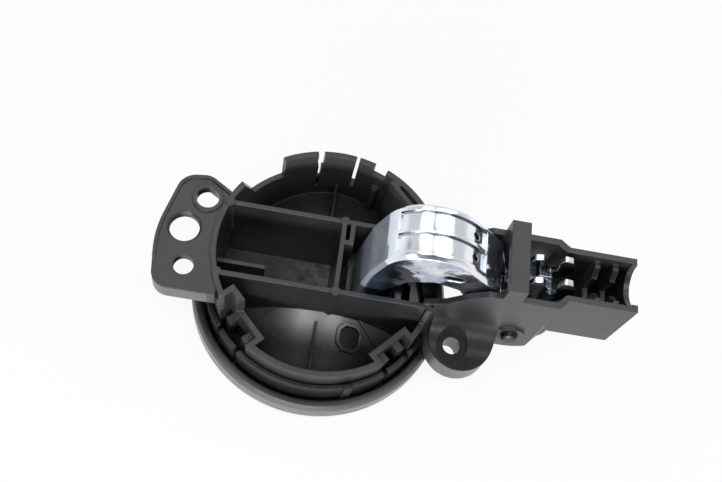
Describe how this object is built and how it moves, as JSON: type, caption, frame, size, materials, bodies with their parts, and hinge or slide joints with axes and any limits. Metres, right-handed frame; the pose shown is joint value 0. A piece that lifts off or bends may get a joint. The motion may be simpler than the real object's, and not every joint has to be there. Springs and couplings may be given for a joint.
{
  "type": "car interior door handle",
  "caption": "Round interior door release handle for a car: moulded housing in a bezel ring, with a chromed pull lever on a pivot pin, a return spring and a cable arm.",
  "frame": {"origin": "middle of the bezel's round face, on the plane that faces into the car", "axes": "+X along the lever and arm to the cable end, +Y across the bar, +Z out of the back of the handle"},
  "size_m": [0.1649, 0.096, 0.0728],
  "materials": {
    "housing_plastic": "fine grained black moulding",
    "bezel_plastic": "satin black moulding",
    "lever_chrome": "bright chrome plate",
    "pin_steel": "blackened steel",
    "spring_steel": "drawn wire"
  },
  "bodies": {
    "frame": {"housing": "housing_plastic", "bezel": "bezel_plastic", "pivot_pin": "pin_steel", "return_spring": "spring_steel"},
    "pull": {"lever": "lever_chrome"}
  },
  "joints": [
    {"name": "lever_pull", "type": "hinge", "parent": "frame", "child": "pull", "pos_m": [0.0692, 0, 0.0288], "axis": [0, -1, 0], "range_deg": [0, 18], "stiffness_Nm_per_rad": 0.35, "springref_deg": -20.05}
  ]
}
